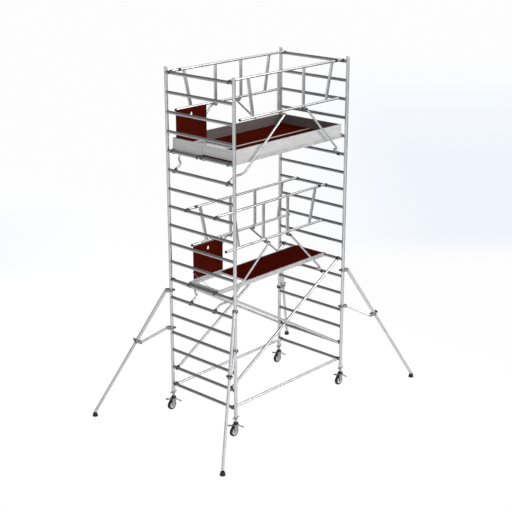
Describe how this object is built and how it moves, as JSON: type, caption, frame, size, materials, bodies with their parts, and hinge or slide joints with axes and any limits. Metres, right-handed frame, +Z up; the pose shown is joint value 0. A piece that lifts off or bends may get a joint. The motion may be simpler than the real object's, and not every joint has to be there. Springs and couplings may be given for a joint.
{
  "type": "mobile tower scaffold",
  "caption": "Mobile aluminium tower scaffold on braked castors, with ladder frames, platform decks with hatches, toe boards, folding guardrails, braces and telescopic stabilisers.",
  "frame": {"origin": "on the ground under the middle of the tower", "axes": "+X along the platform from the hatch end, +Y across the tower to the side the hatches hinge on, +Z up"},
  "size_m": [4.4816, 2.7676, 5.242],
  "materials": {
    "tube_aluminium": "brushed mill finish",
    "deck_aluminium": "mill finish",
    "toe_aluminium": "satin, ribbed",
    "deck_board": "dark red phenolic film",
    "hatch_board": "dark red phenolic film",
    "dark_fitting": "matt black",
    "stay_steel": "zinc plated",
    "spindle_steel": "zinc plated",
    "nut_iron": "zinc plated casting",
    "fork_steel": "grey",
    "tyre": "matt",
    "brake_pedal": "matt, red tips",
    "foot_rubber": "tube with black rubber foot"
  },
  "bodies": {
    "tower": {"frame_left_base": "tube_aluminium", "frame_left_middle": "tube_aluminium", "frame_left_top": "tube_aluminium", "frame_right_base": "tube_aluminium", "frame_right_middle": "tube_aluminium", "frame_right_top": "tube_aluminium", "braces_near": "tube_aluminium", "braces_far": "tube_aluminium", "brace_claws": "dark_fitting", "lower_deck_frame": "deck_aluminium", "lower_deck_board": "deck_board", "upper_near_deck_frame": "deck_aluminium", "upper_near_deck_board": "deck_board", "upper_far_deck_frame": "deck_aluminium", "upper_far_deck_board": "deck_board", "deck_wind_locks": "dark_fitting", "toe_boards_long": "toe_aluminium", "toe_boards_end": "toe_aluminium", "guardrails_lower": "tube_aluminium", "guardrails_upper": "tube_aluminium", "guardrail_fittings": "dark_fitting"},
    "lower_hatch": {"lower_hatch": "hatch_board"},
    "upper_hatch": {"upper_hatch": "hatch_board"},
    "hatch_stay": {"lower_hatch_stay": "stay_steel"},
    "lower_far_leg_left": {"guardrail_lower_far_leg_left": "tube_aluminium"},
    "lower_far_leg_right": {"guardrail_lower_far_leg_right": "tube_aluminium"},
    "lower_near_leg_left": {"guardrail_lower_near_leg_left": "tube_aluminium"},
    "lower_near_leg_right": {"guardrail_lower_near_leg_right": "tube_aluminium"},
    "upper_far_leg_left": {"guardrail_upper_far_leg_left": "tube_aluminium"},
    "upper_far_leg_right": {"guardrail_upper_far_leg_right": "tube_aluminium"},
    "upper_near_leg_left": {"guardrail_upper_near_leg_left": "tube_aluminium"},
    "upper_near_leg_right": {"guardrail_upper_near_leg_right": "tube_aluminium"},
    "jack_near_left": {"jack_spindle_near_left": "spindle_steel"},
    "nut_near_left": {"jack_nut_near_left": "nut_iron"},
    "fork_near_left": {"castor_fork_near_left": "fork_steel"},
    "wheel_near_left": {"castor_wheel_near_left": "tyre"},
    "brake_near_left": {"castor_brake_near_left": "brake_pedal"},
    "stabiliser_near_left": {"stabiliser_near_left": "tube_aluminium"},
    "stabiliser_foot_near_left": {"stabiliser_foot_near_left": "foot_rubber"},
    "jack_near_right": {"jack_spindle_near_right": "spindle_steel"},
    "nut_near_right": {"jack_nut_near_right": "nut_iron"},
    "fork_near_right": {"castor_fork_near_right": "fork_steel"},
    "wheel_near_right": {"castor_wheel_near_right": "tyre"},
    "brake_near_right": {"castor_brake_near_right": "brake_pedal"},
    "stabiliser_near_right": {"stabiliser_near_right": "tube_aluminium"},
    "stabiliser_foot_near_right": {"stabiliser_foot_near_right": "foot_rubber"},
    "jack_far_left": {"jack_spindle_far_left": "spindle_steel"},
    "nut_far_left": {"jack_nut_far_left": "nut_iron"},
    "fork_far_left": {"castor_fork_far_left": "fork_steel"},
    "wheel_far_left": {"castor_wheel_far_left": "tyre"},
    "brake_far_left": {"castor_brake_far_left": "brake_pedal"},
    "stabiliser_far_left": {"stabiliser_far_left": "tube_aluminium"},
    "stabiliser_foot_far_left": {"stabiliser_foot_far_left": "foot_rubber"},
    "jack_far_right": {"jack_spindle_far_right": "spindle_steel"},
    "nut_far_right": {"jack_nut_far_right": "nut_iron"},
    "fork_far_right": {"castor_fork_far_right": "fork_steel"},
    "wheel_far_right": {"castor_wheel_far_right": "tyre"},
    "brake_far_right": {"castor_brake_far_right": "brake_pedal"},
    "stabiliser_far_right": {"stabiliser_far_right": "tube_aluminium"},
    "stabiliser_foot_far_right": {"stabiliser_foot_far_right": "foot_rubber"}
  },
  "joints": [
    {"name": "lower_hatch_hinge", "type": "hinge", "parent": "tower", "child": "lower_hatch", "pos_m": [-0.84, 0.257, 2.145], "axis": [1, 0, 0], "range_deg": [0, 90]},
    {"name": "upper_hatch_hinge", "type": "hinge", "parent": "tower", "child": "upper_hatch", "pos_m": [-0.84, 0.557, 4.089], "axis": [1, 0, 0], "range_deg": [0, 90]},
    {"name": "hatch_stay_fold", "type": "hinge", "parent": "lower_hatch", "child": "hatch_stay", "pos_m": [-1.14, 0.2543, 2.28], "axis": [1, 0, 0], "range_deg": [-112.76, 0]},
    {"name": "lower_far_leg_left_fold", "type": "hinge", "parent": "tower", "child": "lower_far_leg_left", "pos_m": [-0.31, 0.364, 2.64], "axis": [0, -1, 0], "range_deg": [0, 45]},
    {"name": "lower_far_leg_right_fold", "type": "hinge", "parent": "tower", "child": "lower_far_leg_right", "pos_m": [0.182, 0.364, 2.64], "axis": [0, 1, 0], "range_deg": [0, 45]},
    {"name": "lower_near_leg_left_fold", "type": "hinge", "parent": "tower", "child": "lower_near_leg_left", "pos_m": [-0.182, -0.364, 2.64], "axis": [0, -1, 0], "range_deg": [0, 45]},
    {"name": "lower_near_leg_right_fold", "type": "hinge", "parent": "tower", "child": "lower_near_leg_right", "pos_m": [0.31, -0.364, 2.64], "axis": [0, 1, 0], "range_deg": [0, 45]},
    {"name": "upper_far_leg_left_fold", "type": "hinge", "parent": "tower", "child": "upper_far_leg_left", "pos_m": [-0.31, 0.646, 4.584], "axis": [0, -1, 0], "range_deg": [0, 45]},
    {"name": "upper_far_leg_right_fold", "type": "hinge", "parent": "tower", "child": "upper_far_leg_right", "pos_m": [0.182, 0.646, 4.584], "axis": [0, 1, 0], "range_deg": [0, 45]},
    {"name": "upper_near_leg_left_fold", "type": "hinge", "parent": "tower", "child": "upper_near_leg_left", "pos_m": [-0.182, -0.646, 4.584], "axis": [0, -1, 0], "range_deg": [0, 45]},
    {"name": "upper_near_leg_right_fold", "type": "hinge", "parent": "tower", "child": "upper_near_leg_right", "pos_m": [0.31, -0.646, 4.584], "axis": [0, 1, 0], "range_deg": [0, 45]},
    {"name": "jack_near_left_raise", "type": "slide", "parent": "tower", "child": "jack_near_left", "axis": [0, 0, -1], "range_m": [-0.02, 0.25]},
    {"name": "nut_near_left_turn", "type": "hinge", "parent": "tower", "child": "nut_near_left", "pos_m": [-1.212, -0.655, 0.278], "axis": [0, 0, 1], "continuous": true},
    {"name": "castor_near_left_swivel", "type": "hinge", "parent": "jack_near_left", "child": "fork_near_left", "pos_m": [-1.212, -0.655, 0.212], "axis": [0, 0, 1], "continuous": true},
    {"name": "wheel_near_left_spin", "type": "hinge", "parent": "fork_near_left", "child": "wheel_near_left", "pos_m": [-1.252, -0.655, 0.075], "axis": [0, 1, 0], "continuous": true},
    {"name": "brake_near_left_rock", "type": "hinge", "parent": "fork_near_left", "child": "brake_near_left", "pos_m": [-1.22, -0.655, 0.161], "axis": [0, 1, 0], "range_deg": [-6, 6]},
    {"name": "stabiliser_near_left_swing", "type": "hinge", "parent": "tower", "child": "stabiliser_near_left", "pos_m": [-1.212, -0.655, 1.63], "axis": [0, 0, 1], "range_deg": [-30, 45]},
    {"name": "stabiliser_near_left_telescope", "type": "slide", "parent": "stabiliser_near_left", "child": "stabiliser_foot_near_left", "axis": [-0.4235, -0.2945, -0.8567], "range_m": [-0.2, 0.15]},
    {"name": "jack_near_right_raise", "type": "slide", "parent": "tower", "child": "jack_near_right", "axis": [0, 0, -1], "range_m": [-0.02, 0.25]},
    {"name": "nut_near_right_turn", "type": "hinge", "parent": "tower", "child": "nut_near_right", "pos_m": [1.212, -0.655, 0.278], "axis": [0, 0, 1], "continuous": true},
    {"name": "castor_near_right_swivel", "type": "hinge", "parent": "jack_near_right", "child": "fork_near_right", "pos_m": [1.212, -0.655, 0.212], "axis": [0, 0, 1], "continuous": true},
    {"name": "wheel_near_right_spin", "type": "hinge", "parent": "fork_near_right", "child": "wheel_near_right", "pos_m": [1.172, -0.655, 0.075], "axis": [0, 1, 0], "continuous": true},
    {"name": "brake_near_right_rock", "type": "hinge", "parent": "fork_near_right", "child": "brake_near_right", "pos_m": [1.204, -0.655, 0.161], "axis": [0, 1, 0], "range_deg": [-6, 6]},
    {"name": "stabiliser_near_right_swing", "type": "hinge", "parent": "tower", "child": "stabiliser_near_right", "pos_m": [1.212, -0.655, 1.63], "axis": [0, 0, -1], "range_deg": [-30, 45]},
    {"name": "stabiliser_near_right_telescope", "type": "slide", "parent": "stabiliser_near_right", "child": "stabiliser_foot_near_right", "axis": [0.4235, -0.2945, -0.8567], "range_m": [-0.2, 0.15]},
    {"name": "jack_far_left_raise", "type": "slide", "parent": "tower", "child": "jack_far_left", "axis": [0, 0, -1], "range_m": [-0.02, 0.25]},
    {"name": "nut_far_left_turn", "type": "hinge", "parent": "tower", "child": "nut_far_left", "pos_m": [-1.212, 0.655, 0.278], "axis": [0, 0, 1], "continuous": true},
    {"name": "castor_far_left_swivel", "type": "hinge", "parent": "jack_far_left", "child": "fork_far_left", "pos_m": [-1.212, 0.655, 0.212], "axis": [0, 0, 1], "continuous": true},
    {"name": "wheel_far_left_spin", "type": "hinge", "parent": "fork_far_left", "child": "wheel_far_left", "pos_m": [-1.252, 0.655, 0.075], "axis": [0, 1, 0], "continuous": true},
    {"name": "brake_far_left_rock", "type": "hinge", "parent": "fork_far_left", "child": "brake_far_left", "pos_m": [-1.22, 0.655, 0.161], "axis": [0, 1, 0], "range_deg": [-6, 6]},
    {"name": "stabiliser_far_left_swing", "type": "hinge", "parent": "tower", "child": "stabiliser_far_left", "pos_m": [-1.212, 0.655, 1.63], "axis": [0, 0, -1], "range_deg": [-30, 45]},
    {"name": "stabiliser_far_left_telescope", "type": "slide", "parent": "stabiliser_far_left", "child": "stabiliser_foot_far_left", "axis": [-0.4235, 0.2945, -0.8567], "range_m": [-0.2, 0.15]},
    {"name": "jack_far_right_raise", "type": "slide", "parent": "tower", "child": "jack_far_right", "axis": [0, 0, -1], "range_m": [-0.02, 0.25]},
    {"name": "nut_far_right_turn", "type": "hinge", "parent": "tower", "child": "nut_far_right", "pos_m": [1.212, 0.655, 0.278], "axis": [0, 0, 1], "continuous": true},
    {"name": "castor_far_right_swivel", "type": "hinge", "parent": "jack_far_right", "child": "fork_far_right", "pos_m": [1.212, 0.655, 0.212], "axis": [0, 0, 1], "continuous": true},
    {"name": "wheel_far_right_spin", "type": "hinge", "parent": "fork_far_right", "child": "wheel_far_right", "pos_m": [1.172, 0.655, 0.075], "axis": [0, 1, 0], "continuous": true},
    {"name": "brake_far_right_rock", "type": "hinge", "parent": "fork_far_right", "child": "brake_far_right", "pos_m": [1.204, 0.655, 0.161], "axis": [0, 1, 0], "range_deg": [-6, 6]},
    {"name": "stabiliser_far_right_swing", "type": "hinge", "parent": "tower", "child": "stabiliser_far_right", "pos_m": [1.212, 0.655, 1.63], "axis": [0, 0, 1], "range_deg": [-30, 45]},
    {"name": "stabiliser_far_right_telescope", "type": "slide", "parent": "stabiliser_far_right", "child": "stabiliser_foot_far_right", "axis": [0.4235, 0.2945, -0.8567], "range_m": [-0.2, 0.15]}
  ],
  "couplings": [
    {"joint": "hatch_stay_fold", "follows": "lower_hatch_hinge", "ratio": -1.2528},
    {"joint": "nut_near_left_turn", "follows": "jack_near_left_raise", "rad_per_m": 628.32},
    {"joint": "nut_near_right_turn", "follows": "jack_near_right_raise", "rad_per_m": 628.32},
    {"joint": "nut_far_left_turn", "follows": "jack_far_left_raise", "rad_per_m": 628.32},
    {"joint": "nut_far_right_turn", "follows": "jack_far_right_raise", "rad_per_m": 628.32}
  ]
}
